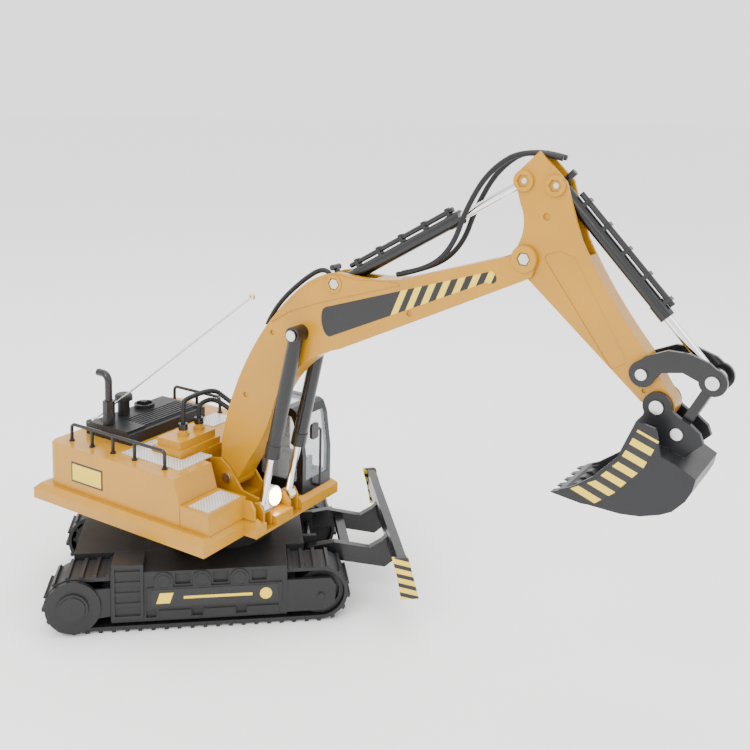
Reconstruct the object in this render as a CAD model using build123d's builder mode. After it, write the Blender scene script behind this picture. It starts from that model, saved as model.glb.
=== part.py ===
from build123d import *
from math import cos, degrees, hypot, pi, sin
import os

# Toy tracked excavator, about 1:16, built as an assembly of separate pieces.
# Millimetres, +Z up, +X towards the front of the undercarriage, origin on the ground under the
# swing axis. The upper structure is drawn facing along +X with the boom in the XZ plane, and each
# of its pieces is then turned about Z to the rest heading.

os.makedirs("parts", exist_ok=True)

# ---- driving dimensions -------------------------------------------------------------------
rest_swing = -40.5  # heading of the upper structure
gap = 0.4  # clearance between moving pieces
shaft_fit = 0.05  # radial clearance of a shaft in its hole
wall = 2.4  # moulded wall

# tracks
wheelbase = 200.0
rear_axle_x = -117.6
track_radius = 25.0  # to the tips of the grousers
track_outer_y = 73.5
track_width = 32.0
link_pitch = 10.43
band_thick = 3.0
grouser_high = 2.2
guard_y = 77.5  # outer face of the side guard

# chassis
chassis_half = 40.0
chassis_bottom = 13.0
chassis_top = 53.0
chassis_rear_x = -122.0
chassis_front_x = 70.0
ring_radius = 44.0

# blade
blade_pivot = (77.0, 42.0)
blade_arm_y = 33.0
blade_arm_thick = 7.0
blade_front = 152.0
blade_top = 63.5
blade_bottom = 28.0
blade_half = 92.5
blade_side_thick = 3.5

# house
floor_z = 75.0
flange_top = 88.7
flange_out = 9.0
house_half = 78.2
rear_x = -135.8
deck_z = 127.2
step_z = 106.7
step_front_x = 54.3
nose_x = 70.0
nose_z = 85.0
step_inner_y = 36.0

# cab
cab_front_x = 67.0
cab_rear_x = -14.0
cab_inner_y = 29.0
cab_outer_y = 71.0
cab_top = 165.0

# boom, drawn in the XZ plane
boom_half = 11.0
boom_foot = (18.0, 108.0)
boom_tip = (283.9, 329.4)
arm_cyl_pin = (124.9, 291.5)
boom_cyl_pin = (94.1, 247.9)
boom_cyl_base = (59.0, 92.0)
boom_cyl_y = 18.0

# arm
arm_half = 8.0
arm_rod_pin = (280.3, 383.4)
bucket_cyl_pin = (303.7, 381.7)
rocker_pin = (370.4, 262.8)
bucket_pin = (381.9, 243.1)

# bucket linkage
rocker_end = (415.6, 265.1)
link_pin = (395.8, 227.8)
bucket_half = 28.0

# hydraulic cylinders
barrel_radius = 5.4
boom_barrel_radius = 6.7
rod_radius = 3.2
pin_radius = 2.0


# ---- helpers ------------------------------------------------------------------------------
def finish(piece, name, turned=True):
    """Turns an upper-structure piece to its rest heading, labels it and writes its file."""
    if turned:
        piece.part = piece.part.rotate(Axis.Z, rest_swing)
    piece.part.label = name
    export_step(piece.part, f"parts/{name}.step")


def side(y):
    """The plane of constant y, drawn in x and z, whose normal points towards -Y."""
    return Plane.XZ.offset(-y)


def disc(point, radius, y_from, y_to, mode=Mode.ADD):
    """A round boss, pin or hole along Y between two y values."""
    with BuildSketch(side(max(y_from, y_to))) as face:
        with Locations(point):
            Circle(radius)
    extrude(face.sketch, amount=abs(y_to - y_from), mode=mode)


def hexagon(point, radius, y_from, y_to, mode=Mode.ADD):
    """A hexagonal boss or recess along Y."""
    with BuildSketch(side(max(y_from, y_to))) as face:
        with Locations(point):
            RegularPolygon(radius, 6)
    extrude(face.sketch, amount=abs(y_to - y_from), mode=mode)


def slab(points, y_from, y_to, mode=Mode.ADD, round_corners=0.0, inset=0.0):
    """A flat plate with a polygon outline in x and z, between two y values."""
    with BuildSketch(side(max(y_from, y_to))) as face:
        with BuildLine():
            Polyline(*points, close=True)
        make_face()
        if round_corners:
            fillet(face.vertices(), round_corners)
        if inset:
            offset(amount=-inset, mode=Mode.REPLACE)
    extrude(face.sketch, amount=abs(y_to - y_from), mode=mode)


def block(x_from, x_to, y_from, y_to, z_from, z_to, mode=Mode.ADD):
    """A rectangular block between two corners."""
    with Locations(((x_from + x_to) / 2, (y_from + y_to) / 2, (z_from + z_to) / 2)):
        Box(abs(x_to - x_from), abs(y_to - y_from), abs(z_to - z_from), mode=mode)


def post(x, y, radius, z_from, z_to, mode=Mode.ADD):
    """An upright round post or hole between two heights."""
    with BuildSketch(Plane.XY.offset(z_from)) as face:
        with Locations((x, y)):
            Circle(radius)
    extrude(face.sketch, amount=z_to - z_from, mode=mode)


def pipe(points, radius, bend, mode=Mode.ADD):
    """A round bar or hose through points, with its corners turned to a bend radius."""
    with BuildLine() as route:
        FilletPolyline(*points, radius=bend)
    line = route.line
    with BuildSketch(Plane(origin=line @ 0, z_dir=line % 0)) as face:
        Circle(radius)
    sweep(face.sketch, path=line, mode=mode)


def along(start, end, share):
    """The point a share of the way from start to end."""
    return (start[0] + share * (end[0] - start[0]), start[1] + share * (end[1] - start[1]))


def stroke_plane(start, end, distance, y=0.0):
    """The plane across the line from start to end, a distance along it, facing the end."""
    x, z = along(start, end, distance / reach(start, end))
    return Plane(origin=(x, y, z), x_dir=(0, 1, 0), z_dir=(end[0] - start[0], 0, end[1] - start[1]))


def rod_between(start, end, distance_from, distance_to, radius, y=0.0, mode=Mode.ADD):
    """A round bar along the line from start to end."""
    with BuildSketch(stroke_plane(start, end, distance_from, y)) as face:
        Circle(radius)
    extrude(face.sketch, amount=distance_to - distance_from, mode=mode)


def reach(start, end):
    return hypot(end[0] - start[0], end[1] - start[1])


# ---- undercarriage ------------------------------------------------------------------------
front_axle_x = rear_axle_x + wheelbase
axle_z = track_radius
track_inner_y = track_outer_y - track_width
band_outer = track_radius - grouser_high
band_inner = band_outer - band_thick
wheel_radius = band_inner - gap


def track_loop(radius):
    """The racetrack outline around both wheels."""
    with Locations(((rear_axle_x + front_axle_x) / 2, axle_z)):
        SlotCenterToCenter(wheelbase, 2 * radius)


def track_stations():
    """Place and heading of each link, evenly spaced around the loop."""
    middle = band_outer - band_thick / 2
    around = 2 * wheelbase + 2 * pi * middle
    count = round(around / link_pitch)
    for i in range(count):
        s = around * i / count
        if s < wheelbase:
            yield rear_axle_x + s, axle_z - middle, -90.0
        elif s < wheelbase + pi * middle:
            turn = (s - wheelbase) / middle
            yield front_axle_x + middle * sin(turn), axle_z - middle * cos(turn), -90 + degrees(turn)
        elif s < 2 * wheelbase + pi * middle:
            yield front_axle_x - (s - wheelbase - pi * middle), axle_z + middle, 90.0
        else:
            turn = (s - 2 * wheelbase - pi * middle) / middle
            yield rear_axle_x - middle * sin(turn), axle_z + middle * cos(turn), 90 + degrees(turn)


# track belt: a band with a raised grouser on every link
with BuildPart() as right_track_belt:
    with BuildSketch(side(-track_inner_y)):
        track_loop(band_outer)
        for x, z, heading in track_stations():
            with Locations(Location((x, z), heading)):
                with Locations((band_thick / 2 + grouser_high / 2 - 0.3, 0)):
                    Rectangle(grouser_high + 0.6, 3.0)
        with Locations(((rear_axle_x + front_axle_x) / 2, axle_z)):
            SlotCenterToCenter(wheelbase, 2 * band_inner, mode=Mode.SUBTRACT)
    extrude(amount=track_width)
with BuildPart() as left_track_belt:
    add(mirror(right_track_belt.part, about=Plane.XZ, mode=Mode.PRIVATE))
finish(right_track_belt, "right_track_belt", turned=False)
finish(left_track_belt, "left_track_belt", turned=False)

# side frame: inner beam between the wheels, outer guard over the top run
guard_rear_x = -88.0
guard_front_x = 54.0
guard_low_z = 12.0
beam_low_z = 8.5
beam_top_z = 41.0
guard_top_z = 53.0
step_rear_x = -87.0
step_front_guard_x = -62.0
step_guard_top = 60.0
inner_face_y = -(track_outer_y + gap)
with BuildPart() as right_track_frame:
    block(guard_rear_x, guard_front_x, -guard_y, inner_face_y, guard_low_z, guard_top_z)
    block(guard_rear_x, guard_front_x, inner_face_y, -chassis_half, beam_low_z, beam_top_z)
    block(guard_rear_x + wall, guard_front_x - wall, inner_face_y, -chassis_half - wall, beam_low_z + wall,
          beam_top_z - wall, mode=Mode.SUBTRACT)
    block(guard_rear_x, guard_front_x, inner_face_y, -chassis_half, 2 * track_radius + 1, guard_top_z)
    block(step_rear_x, step_front_guard_x, -guard_y - 1.6, -guard_y + 1, 14.0, step_guard_top)
    block(step_rear_x, step_front_guard_x, -guard_y, -54.0, guard_top_z, step_guard_top)
    block(step_rear_x + 2.5, step_front_guard_x - 2.5, -guard_y - 2, -guard_y, 16.5, 57.0, mode=Mode.SUBTRACT)
    for k in range(4):
        z = 24.0 + 9.0 * k
        block(step_rear_x + 2, step_front_guard_x - 2, -guard_y - 1.0, -guard_y + 0.5, z, z + 3.5)
    block(-59.0, 50.0, -guard_y - 1.2, -guard_y + 1, 21.5, 39.5)
    for x in (-46.0, -15.5, 15.0):
        block(x - 7.5, x + 7.5, -guard_y - 1.0, -guard_y + 1, 39.5, 45.0)
        disc((x, 45.0), 7.5, -guard_y - 1.0, -guard_y + 1)
        disc((x, 45.0), 5.2, -guard_y - 1.5, -guard_y + 1)
    for x in (-30.7, -0.2, 31.0):
        block(x - 6.0, x + 6.0, -guard_y - 1, -guard_y + 2.0, 41.5, 50.5, mode=Mode.SUBTRACT)
    for x in (-37.0, -1.0, 34.0):
        block(x - 13.0, x + 13.0, -guard_y - 1.0, -guard_y + 1, 12.5, 19.5)
    for x in (-56.0, -19.0, 16.5):
        block(x - 4.0, x + 4.0, -guard_y - 1, -guard_y + 2.0, 13.5, 19.5, mode=Mode.SUBTRACT)
with BuildPart() as left_track_frame:
    add(mirror(right_track_frame.part, about=Plane.XZ, mode=Mode.PRIVATE))
finish(right_track_frame, "right_track_frame", turned=False)
finish(left_track_frame, "left_track_frame", turned=False)

# wheels: toothed sprocket at the rear, plain idler at the front
axle_radius = 3.0
axle_inner_y = 37.0
axle_outer_y = 75.4
wheel_out_y = 70.0
wheel_in_y = 45.0
with BuildPart() as right_sprocket:
    disc((rear_axle_x, axle_z), wheel_radius - 2.4, -wheel_out_y, -wheel_in_y)
    with BuildSketch(side(-wheel_in_y)):
        with Locations((rear_axle_x, axle_z)):
            with PolarLocations(wheel_radius - 1.6, 12):
                Rectangle(3.0, 3.6)
    extrude(amount=wheel_out_y - wheel_in_y)
    disc((rear_axle_x, axle_z), axle_radius, -axle_outer_y, -axle_inner_y)
with BuildPart() as left_sprocket:
    add(mirror(right_sprocket.part, about=Plane.XZ, mode=Mode.PRIVATE))
finish(right_sprocket, "right_sprocket", turned=False)
finish(left_sprocket, "left_sprocket", turned=False)

with BuildPart() as right_idler:
    disc((front_axle_x, axle_z), wheel_radius, -wheel_out_y, -wheel_in_y)
    disc((front_axle_x, axle_z), wheel_radius - 4, -wheel_out_y, -wheel_out_y + 4, mode=Mode.SUBTRACT)
    disc((front_axle_x, axle_z), axle_radius, -axle_outer_y, -axle_inner_y)
with BuildPart() as left_idler:
    add(mirror(right_idler.part, about=Plane.XZ, mode=Mode.PRIVATE))
finish(right_idler, "right_idler", turned=False)
finish(left_idler, "left_idler", turned=False)

# final drive covers over the sprockets, idler yokes over the idlers
with BuildPart() as final_drive_covers:
    disc((rear_axle_x, axle_z), 22.0, inner_face_y, -guard_y - 0.5)
    disc((rear_axle_x, axle_z), 12.5, -guard_y, -guard_y - 2.2)
    disc((rear_axle_x, axle_z), 10.2, -guard_y - 2, -guard_y - 3.0)
    slab([(rear_axle_x, 12), (guard_rear_x, 16), (guard_rear_x, 40), (rear_axle_x, 38)], -76.6, inner_face_y)
    disc((rear_axle_x, axle_z), axle_radius + shaft_fit, inner_face_y + 1, -axle_outer_y - 0.3, mode=Mode.SUBTRACT)
    mirror(about=Plane.XZ)
finish(final_drive_covers, "final_drive_covers", turned=False)

with BuildPart() as idler_yokes:
    slab(
        [(guard_front_x, 12), (86, 12), (94, 18), (94.5, 34), (90, 40), (guard_front_x, 40)],
        -guard_y, inner_face_y,
    )
    disc((front_axle_x, axle_z), 2.6, -guard_y - 1.4, -guard_y + 1)
    disc((front_axle_x, axle_z), axle_radius + shaft_fit, inner_face_y + 1, -axle_outer_y - 0.3, mode=Mode.SUBTRACT)
    mirror(about=Plane.XZ)
finish(idler_yokes, "idler_yokes", turned=False)

# chassis: hollow box between the tracks with the turret on top
switch_slot = (40.0, 52.0)
battery_bay = (-60.0, 20.0, 25.0)
turret_top = 66.0
spindle_radius = 8.0
with BuildPart() as chassis_frame:
    block(chassis_rear_x, chassis_front_x, -chassis_half, chassis_half, chassis_bottom, chassis_top)
    with Locations((0, 0, chassis_top)):
        Cylinder(ring_radius, turret_top - chassis_top, align=(Align.CENTER, Align.CENTER, Align.MIN))
    block(chassis_rear_x + wall, chassis_front_x - wall, -chassis_half + wall, chassis_half - wall,
          chassis_bottom + wall, chassis_top - wall, mode=Mode.SUBTRACT)
    block(battery_bay[0], battery_bay[1], -battery_bay[2], battery_bay[2],
          chassis_bottom - 1, chassis_bottom + wall + 1, mode=Mode.SUBTRACT)
    block(switch_slot[0], switch_slot[1], -3.4, 3.4, chassis_bottom - 1, chassis_bottom + wall + 1, mode=Mode.SUBTRACT)
    for y in (-1, 1):
        block(chassis_front_x - 1, front_axle_x + 8, y * 36.6, y * chassis_half, 17.0, 33.0)
        block(chassis_front_x - 3, blade_pivot[0] + 5, y * 22.0, y * 26.0, blade_pivot[1] - 7, chassis_top)
        disc((rear_axle_x, axle_z), axle_radius + shaft_fit, y * 30, y * 45, mode=Mode.SUBTRACT)
        disc((front_axle_x, axle_z), axle_radius + shaft_fit, y * 30, y * 45, mode=Mode.SUBTRACT)
        disc(blade_pivot, 2.5 + shaft_fit, y * 20, y * 28, mode=Mode.SUBTRACT)
    post(0, 0, ring_radius - wall, chassis_top - wall - 1, turret_top - wall, mode=Mode.SUBTRACT)
    post(0, 0, spindle_radius + shaft_fit, chassis_top, turret_top + 1, mode=Mode.SUBTRACT)
finish(chassis_frame, "chassis_frame", turned=False)

with BuildPart() as battery_cover:
    block(battery_bay[0] + 0.2, battery_bay[1] - 0.2, -battery_bay[2] + 0.2, battery_bay[2] - 0.2,
          chassis_bottom, chassis_bottom + wall)
    with Locations((battery_bay[0] + 8, 0, chassis_bottom)):
        Box(5, 14, 1.6, mode=Mode.SUBTRACT)
finish(battery_cover, "battery_cover", turned=False)

with BuildPart() as battery_pack:
    block(battery_bay[0] + 2, battery_bay[1] - 2, -22, 22, chassis_bottom + wall, 38.0)
finish(battery_pack, "battery_pack", turned=False)

with BuildPart() as power_switch:
    block(switch_slot[0] + 0.4, switch_slot[0] + 6.0, -3.0, 3.0, chassis_bottom - 1.4, chassis_bottom + wall)
finish(power_switch, "power_switch", turned=False)

with BuildPart() as drive_motors:
    for y in (-1, 1):
        disc((rear_axle_x + 18, 30.0), 10.0, y * 8, y * 30)
        block(rear_axle_x, rear_axle_x + 30, y * 30, y * 36.5, 18.0, 42.0)
        disc((rear_axle_x, axle_z), axle_radius + 0.6, y * 29, y * 38, mode=Mode.SUBTRACT)
finish(drive_motors, "drive_motors", turned=False)

ring_top = 70.0
with BuildPart() as slew_ring:
    with BuildSketch(Plane.XY.offset(turret_top)):
        Circle(ring_radius - 2)
        Circle(ring_radius - 9, mode=Mode.SUBTRACT)
    extrude(amount=ring_top - turret_top)
finish(slew_ring, "slew_ring", turned=False)

# ---- blade --------------------------------------------------------------------------------
blade_low_front = blade_front + 9.5
arm_front_x = blade_front - 10.0
with BuildPart() as blade_plate:
    with BuildSketch(side(blade_half)):
        with BuildLine():
            top = (blade_front - 1.5, blade_top)
            low = (blade_low_front - 1.5, blade_bottom)
            ThreePointArc(top, (blade_front - 3.5, (blade_top + blade_bottom) / 2 - 3), low)
            Line(low, (low[0] - 3.2, low[1]))
            ThreePointArc((low[0] - 3.2, low[1]), (blade_front - 7.0, (blade_top + blade_bottom) / 2 - 3),
                          (top[0] - 3.2, top[1]))
            Line((top[0] - 3.2, top[1]), top)
        make_face()
    extrude(amount=2 * blade_half)
    block(blade_front - 9, blade_front - 4, -blade_half, blade_half, blade_top - 5, blade_top)
finish(blade_plate, "blade_plate", turned=False)

with BuildPart() as blade_arms:
    for y in (-1, 1):
        y_in = y * (blade_arm_y - blade_arm_thick / 2)
        y_out = y * (blade_arm_y + blade_arm_thick / 2)
        slab(
            [(blade_pivot[0], blade_pivot[1] - 6), (blade_pivot[0], blade_pivot[1] + 6), (97, 51), (128, 44), (arm_front_x - 3, 50),
             (arm_front_x + 3.6, 56), (arm_front_x + 4.6, 42), (arm_front_x + 8.0, 32), (arm_front_x, 26), (103, 34)],
            y_in, y_out,
        )
        disc(blade_pivot, blade_pivot[0] - chassis_front_x - 0.6, y_in, y_out)
    add(blade_plate.part, mode=Mode.SUBTRACT)
    disc(blade_pivot, 2.5, -blade_arm_y, blade_arm_y)
    block(104, 112, -blade_arm_y, blade_arm_y, 37, 44)
finish(blade_arms, "blade_arms", turned=False)

with BuildPart() as blade_side_plates:
    for y in (-1, 1):
        slab(
            [(blade_front - 13.6, blade_top), (blade_front - 0.3, blade_top + 0.6), (blade_low_front, blade_bottom - 0.4),
             (blade_low_front - 15, blade_bottom - 0.4), (blade_low_front - 18, 45)],
            y * blade_half, y * (blade_half + blade_side_thick),
        )
finish(blade_side_plates, "blade_side_plates", turned=False)

# ---- house --------------------------------------------------------------------------------
retainer_z = turret_top - wall - gap
floor_thick = 2.4
with BuildPart() as house_floor:
    with BuildSketch(Plane.XY.offset(floor_z)):
        with BuildLine():
            Polyline(
                (rear_x - flange_out, -house_half - flange_out), (step_front_x + 3, -house_half - flange_out),
                (step_front_x + 3, -step_inner_y - 2), (nose_x, -step_inner_y - 2), (nose_x, house_half + flange_out - 8),
                (rear_x - flange_out, house_half + flange_out), close=True,
            )
        make_face()
    extrude(amount=flange_top - floor_z)
    outer = house_floor.faces().sort_by(Axis.Z)[-1].outer_wire().edges()
    chamfer(outer, length=4.5, length2=4.5)
    block(rear_x + 2 * wall, nose_x - 2 * wall - 14, -house_half + 2 * wall, house_half - 2 * wall,
          floor_z + floor_thick, flange_top + 1, mode=Mode.SUBTRACT)
    for y in (-boom_cyl_y, boom_cyl_y):
        block(boom_cyl_base[0] - 10, nose_x + 1, y - 6.4, y + 6.4, floor_z + floor_thick, flange_top + 1, mode=Mode.SUBTRACT)
    block(boom_cyl_base[0] - 12, nose_x + 1, -30, 12, nose_z, flange_top + 1, mode=Mode.SUBTRACT)
    post(0, 0, 36.0, ring_top, floor_z)
    post(0, 0, 30.0, ring_top - 1, floor_z, mode=Mode.SUBTRACT)
    post(0, 0, spindle_radius, retainer_z - 4, floor_z + floor_thick)
finish(house_floor, "house_floor")

with BuildPart() as slew_retainer:
    post(0, 0, 14.0, retainer_z - 2.0, retainer_z)
    post(0, 0, spindle_radius, retainer_z - 3, retainer_z + 1, mode=Mode.SUBTRACT)
finish(slew_retainer, "slew_retainer")

# deck: the body shell behind and beside the boom
cover_from = (-122.0, -46.0)
cover_to = (-66.0, 50.0)
deck_rear_x = rear_x + 12.0
with BuildPart() as deck_shell:
    slab(
        [(deck_rear_x, flange_top), (step_front_x - 31, flange_top), (23.0, step_z), (16.6, deck_z), (deck_rear_x, deck_z)],
        -house_half, -step_inner_y + 3,
    )
    slab([(deck_rear_x, flange_top), (-7.5, flange_top), (-7.5, deck_z), (deck_rear_x, deck_z)],
         -step_inner_y + 3, cab_inner_y - 1)
    slab([(deck_rear_x, flange_top), (cab_rear_x - gap, flange_top), (cab_rear_x - gap, deck_z), (deck_rear_x, deck_z)],
         cab_inner_y - 1, house_half)
    offset(deck_shell.part, amount=-wall, openings=deck_shell.faces().sort_by(Axis.Z)[0])
    block(cover_from[0] + 4, cover_to[0] - 4, cover_from[1] + 4, cover_to[1] - 4, deck_z - 5, deck_z + 1, mode=Mode.SUBTRACT)
finish(deck_shell, "deck_shell")

with BuildPart() as counterweight:
    with BuildSketch(Plane.XY.offset(flange_top)) as weight_outline:
        with Locations(((rear_x + deck_rear_x) / 2, 0)):
            Rectangle(deck_rear_x - rear_x, 2 * house_half)
        fillet(weight_outline.vertices().group_by(Axis.X)[0], 9.0)
    extrude(amount=deck_z - flange_top)
    chamfer(counterweight.edges().group_by(Axis.Z)[-1].sort_by(Axis.X)[0], 1.5)
finish(counterweight, "counterweight")

with BuildPart() as step_box:
    slab([(23.4 + gap, flange_top), (step_front_x, flange_top), (step_front_x, step_z), (23.4, step_z)],
         -house_half, -step_inner_y + 3)
    slab([(54, flange_top), (54, 104), (61, 104), (nose_x - 4.6, 98), (nose_x - 4.6, flange_top)],
         -step_inner_y, -step_inner_y + 3)
    block(23.5 + 2 * wall, step_front_x - wall, -house_half + wall, -step_inner_y - wall, flange_top - 1, step_z - wall,
          mode=Mode.SUBTRACT)
finish(step_box, "step_box")

# raised non-slip plates
tread_thick = 0.8
with BuildPart() as deck_treads:
    for x_from, x_to, y_from, y_to, z in (
        (-60.0, 8.0, -62.0, -22.0, deck_z),
        (30.0, step_front_x - 3, -house_half + 3, -step_inner_y - 1, step_z),
        (-64.0, -40.0, 33.0, 63.0, deck_z),
    ):
        block(x_from, x_to, y_from, y_to, z, z + tread_thick)
    block(-43.4, -5.6, -44.4, -20.0, deck_z - 1, deck_z + 2, mode=Mode.SUBTRACT)
finish(deck_treads, "deck_treads")

# engine cover with louvres and the fan dish
cover_top = 139.0
fan_at = (-108.0, 12.0)
with BuildPart() as engine_cover:
    block(cover_from[0], cover_to[0], cover_from[1], cover_to[1], deck_z, cover_top - 2)
    block(cover_from[0] + 4, cover_to[0] - 4, cover_from[1], cover_to[1] - 4, cover_top - 2, cover_top)
    block(cover_from[0] + wall, cover_to[0] - wall, cover_from[1] + wall, cover_to[1] - wall,
          deck_z - 1, cover_top - 2 * wall, mode=Mode.SUBTRACT)
    for k in range(7):
        x = cover_from[0] + 26 + 4 * k
        block(x, x + 2, cover_from[1] + 22, cover_to[1] - 8, cover_top - 1.2, cover_top + 1, mode=Mode.SUBTRACT)
    post(*fan_at, 9.5, cover_top, cover_top + 4)
    post(*fan_at, 7.5, cover_top + 1, cover_top + 5, mode=Mode.SUBTRACT)
    post(*fan_at, 3.0, cover_top, cover_top + 6)
finish(engine_cover, "engine_cover")

# exhaust stack with a bent tail pipe, and the air pre-cleaner
stack_at = (-99.0, -40.0)
with BuildPart() as exhaust_stack:
    with BuildSketch(Plane.XY.offset(cover_top)):
        with Locations(stack_at):
            RegularPolygon(5.5, 6)
    extrude(amount=22.0)
    x, y = stack_at
    pipe([(x, y, cover_top + 21), (x, y, cover_top + 46), (x - 13, y, cover_top + 46)], 3.3, 7.0)
finish(exhaust_stack, "exhaust_stack")

cleaner_at = (-108.0, -14.0)
with BuildPart() as precleaner:
    post(*cleaner_at, 5.5, cover_top, cover_top + 14)
    post(*cleaner_at, 8.2, cover_top + 14, cover_top + 20)
    fillet(precleaner.edges().group_by(Axis.Z)[-1], 2.5)
finish(precleaner, "precleaner")

# handrails along both sides of the deck
rail_radius = 1.5
with BuildPart() as handrails:
    for y, posts, top in ((-66.0, (-118, -92, -66, -40, -5), deck_z + 15.5), (67.0, (-122, -92, -62), deck_z + 15.5)):
        ends = posts[0], posts[-1]
        pipe([(ends[0], y, deck_z), (ends[0], y, top), (ends[1], y, top), (ends[1], y, deck_z)], rail_radius, 4.0)
        for x in posts[1:-1]:
            post(x, y, rail_radius, deck_z, top)
        for x in posts:
            post(x, y, 2.6, deck_z, deck_z + 1.2)
finish(handrails, "handrails")

# valve block on the deck beside the boom, with its collars and hoses
valve_from = (-42.0, -43.0)
valve_to = (-9.0, 7.0)
collars_at = ((-24.0, -24.0), (-24.0, -4.0))
valve_top = deck_z + 12.8
with BuildPart() as valve_block:
    block(valve_from[0], valve_to[0], valve_from[1], valve_to[1], deck_z, deck_z + 6)
    block(valve_from[0] + 3, valve_to[0] - 3, valve_from[1] + 3, valve_to[1] - 3, deck_z + 6, valve_top)
    for x, y in collars_at:
        post(x, y, 5.2, valve_top, valve_top + 3)
        post(x, y, 3.8, valve_top + 3, valve_top + 8)
finish(valve_block, "valve_block")

hose_radius = 2.3
hose_end_y = cab_inner_y - 0.1
with BuildPart() as valve_hoses:
    for (x, y), top, end_x in zip(collars_at, (172.0, 163.0), (-2.0, 8.0)):
        foot = valve_top + 8
        pipe([(x, y, foot), (x, y, top), (x, 15, top), (end_x, 18, top - 14), (end_x, hose_end_y, top - 14)],
             hose_radius, 6.0)
finish(valve_hoses, "valve_hoses")

# boom mount: two cheeks that carry the boom foot, and the lugs of the boom cylinders
eye_half = rod_radius + 0.2
cheek_in = boom_half + gap + 0.6
cheek_out = boom_cyl_y - eye_half - gap
lug_in = boom_cyl_y + eye_half + gap
deck_base_z = floor_z + floor_thick
with BuildPart() as boom_mount:
    for hand in (-1, 1):
        slab(
            [(-2, deck_base_z), (-2, 121), (10, 124), (20, 117), (34, 100), (60, 96), (66, 88), (66, deck_base_z)],
            hand * cheek_in, hand * cheek_out,
        )
        slab([(51, deck_base_z), (52, 95), (56, 98), (62, 98), (66, 92), (66, deck_base_z)],
             hand * lug_in, hand * (lug_in + 2.4))
    block(-2, 34, -cheek_in, cheek_in, deck_base_z, 92)
    disc(boom_foot, 2.5 + shaft_fit, -20, 20, mode=Mode.SUBTRACT)
finish(boom_mount, "boom_mount")

# headlamp between the boom cylinders
lamp_at = (58.0, 0.0, 96.0)
with BuildPart() as headlamp:
    block(lamp_at[0] - 10, lamp_at[0] - 2, -6, 6, nose_z, lamp_at[2])
    with BuildSketch(Plane(origin=(lamp_at[0] - 6, 0, lamp_at[2]), z_dir=(1, 0, 0.12))) as lamp_face:
        Circle(8.5)
    extrude(lamp_face.sketch, amount=7)
finish(headlamp, "headlamp")

# slew motor and circuit board inside the house
with BuildPart() as slew_motor:
    post(-30, 0, 11.0, deck_base_z, 106.0)
    post(-30, 0, 3.0, 106.0, 110.0)
    block(-46, -14, -9, 9, deck_base_z, deck_base_z + 4)
finish(slew_motor, "slew_motor")

with BuildPart() as circuit_board:
    block(-110, -62, -30, 30, 92.0, 93.6)
    for x in (-106, -66):
        for y in (-26, 26):
            post(x, y, 2.0, deck_base_z, 92.0)
    block(-98, -80, -12, 8, 93.6, 97.0)
    block(-78, -68, 12, 24, 93.6, 103.0)
finish(circuit_board, "circuit_board")

# ---- cab ----------------------------------------------------------------------------------
cab_wall = 2.0
glass_thick = 1.2
glass_inset = 0.4
pillar_low = (cab_front_x, 122.0)
pillar_high = (cab_front_x - 4.5, 154.0)
cab_outline = [
    (cab_rear_x, flange_top), (cab_front_x, flange_top), pillar_low, pillar_high,
    (cab_front_x - 8.5, 163.0), (cab_front_x - 13, cab_top), (cab_rear_x + 4, cab_top), (cab_rear_x, cab_top - 4),
]
door_window = [(21, 99), (60.5, 99), (60.5, 122), (56.5, 152), (53, 158), (21, 158)]
rear_window = [(-9, 122), (15, 122), (15, 158), (-9, 158)]
front_window = (34.0, 66.0, 100.0, 157.0)
roof_window = (8.0, 46.0, 36.0, 64.0)


def cab_pane(reach_in):
    """Cuts or fills the front, rear and roof openings of the cab with a box each."""
    y_from, y_to, z_from, z_to = front_window
    block(cab_front_x - 13, cab_front_x + 1, y_from, y_to, z_from, z_to, mode=reach_in)
    block(cab_rear_x - 1, cab_rear_x + 4, y_from, y_to, 122.0, 156.0, mode=reach_in)
    x_from, x_to, y_from, y_to = roof_window
    block(x_from, x_to, y_from, y_to, cab_top - 4, cab_top + 1, mode=reach_in)


with BuildPart() as cab_shell:
    slab(cab_outline, cab_inner_y, cab_outer_y)
    slab(cab_outline, cab_inner_y + cab_wall, cab_outer_y - cab_wall, inset=cab_wall, mode=Mode.SUBTRACT)
    for y in (cab_inner_y, cab_outer_y):
        slab(door_window, y - 3, y + 3, mode=Mode.SUBTRACT, round_corners=2.0)
        slab(rear_window, y - 3, y + 3, mode=Mode.SUBTRACT, round_corners=2.0)
    cab_pane(Mode.SUBTRACT)
    block(cab_rear_x, 50, cab_outer_y - 1, house_half - 2, flange_top, flange_top + 2.4)
finish(cab_shell, "cab_shell")

with BuildPart() as cab_windows:
    slab(cab_outline, cab_inner_y, cab_outer_y, inset=glass_inset)
    slab(cab_outline, cab_inner_y, cab_outer_y, inset=glass_inset + glass_thick, mode=Mode.SUBTRACT)
    with BuildPart(mode=Mode.PRIVATE) as openings:
        cab_pane(Mode.ADD)
    add(openings.part, mode=Mode.INTERSECT)
    for y, y_end in ((cab_inner_y + glass_inset, cab_inner_y + glass_inset + glass_thick),
                     (cab_outer_y - glass_inset - glass_thick, cab_outer_y - glass_inset)):
        slab(door_window, y, y_end, round_corners=2.0)
        slab(rear_window, y, y_end, round_corners=2.0)
finish(cab_windows, "cab_windows")

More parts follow.
